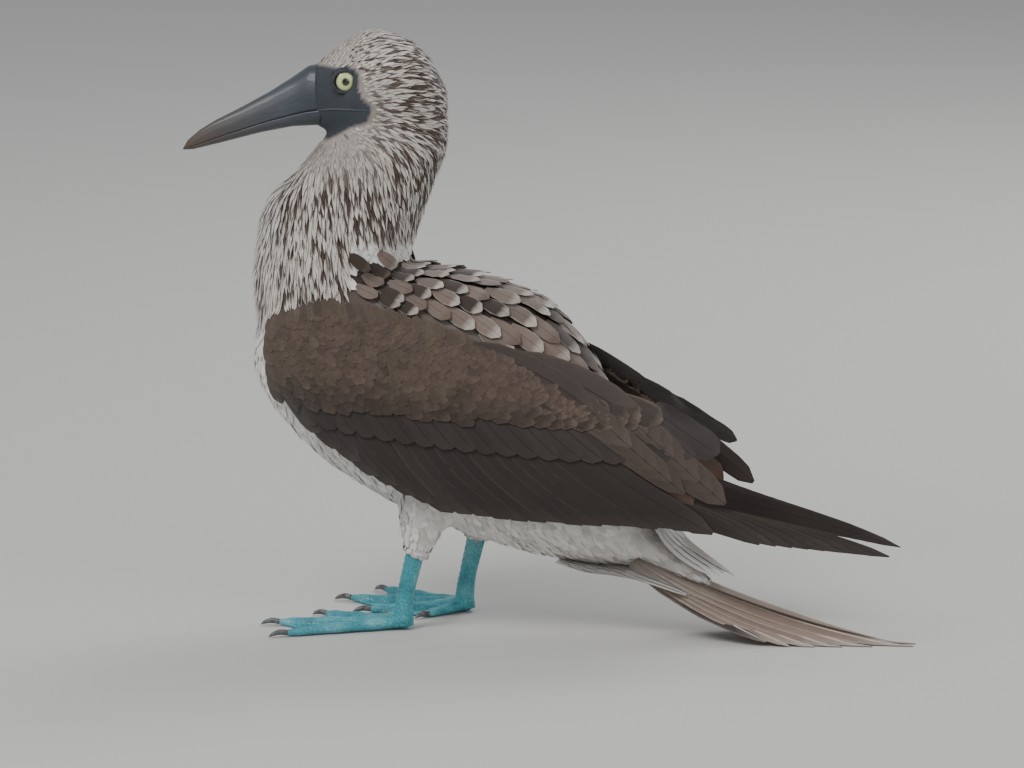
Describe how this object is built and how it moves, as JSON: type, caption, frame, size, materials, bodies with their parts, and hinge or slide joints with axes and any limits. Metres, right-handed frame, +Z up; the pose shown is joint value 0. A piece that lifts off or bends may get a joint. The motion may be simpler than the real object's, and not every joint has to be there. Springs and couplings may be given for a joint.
{
  "type": "blue footed booby",
  "caption": "Life-size standing seabird with a long pointed bill, folded wings, a fanned tail laid on the floor and blue webbed feet, as a still model.",
  "frame": {"origin": "on the floor under the middle of the bounding box", "axes": "+X towards the tail, so the bird faces -X, +Y towards its right side, +Z up"},
  "size_m": [0.4936, 0.1752, 0.3993],
  "materials": {
    "plumage_grey": "matte feathers, pale grey with dark streaks",
    "plumage_white": "matte white feathers",
    "plumage_brown": "matte brown feathers with pale tips",
    "plumage_dark": "matte very dark brown flight feathers",
    "tail_feathers": "matte pale brown feathers with whitish shafts",
    "bill": "horn, slate grey blue, satin",
    "eyes": "moist, pale yellow green with a dark pupil",
    "feet": "scaled skin, turquoise, satin"
  },
  "bodies": {
    "root": {"head": "plumage_grey", "bill_upper": "bill", "bill_lower": "bill", "eye_left": "eyes", "eye_right": "eyes", "neck": "plumage_grey", "torso": "plumage_white", "wing_left_coverts": "plumage_brown", "wing_left_secondaries": "plumage_dark", "wing_left_primaries": "plumage_dark", "wing_right_coverts": "plumage_brown", "wing_right_secondaries": "plumage_dark", "wing_right_primaries": "plumage_dark", "scapulars_left": "plumage_brown", "scapulars_right": "plumage_brown", "thigh_left": "plumage_white", "thigh_right": "plumage_white", "leg_left": "feet", "leg_right": "feet", "foot_left": "feet", "foot_right": "feet", "tail": "tail_feathers", "tail_coverts_upper": "plumage_white", "tail_coverts_under": "plumage_white"}
  },
  "joints": []
}
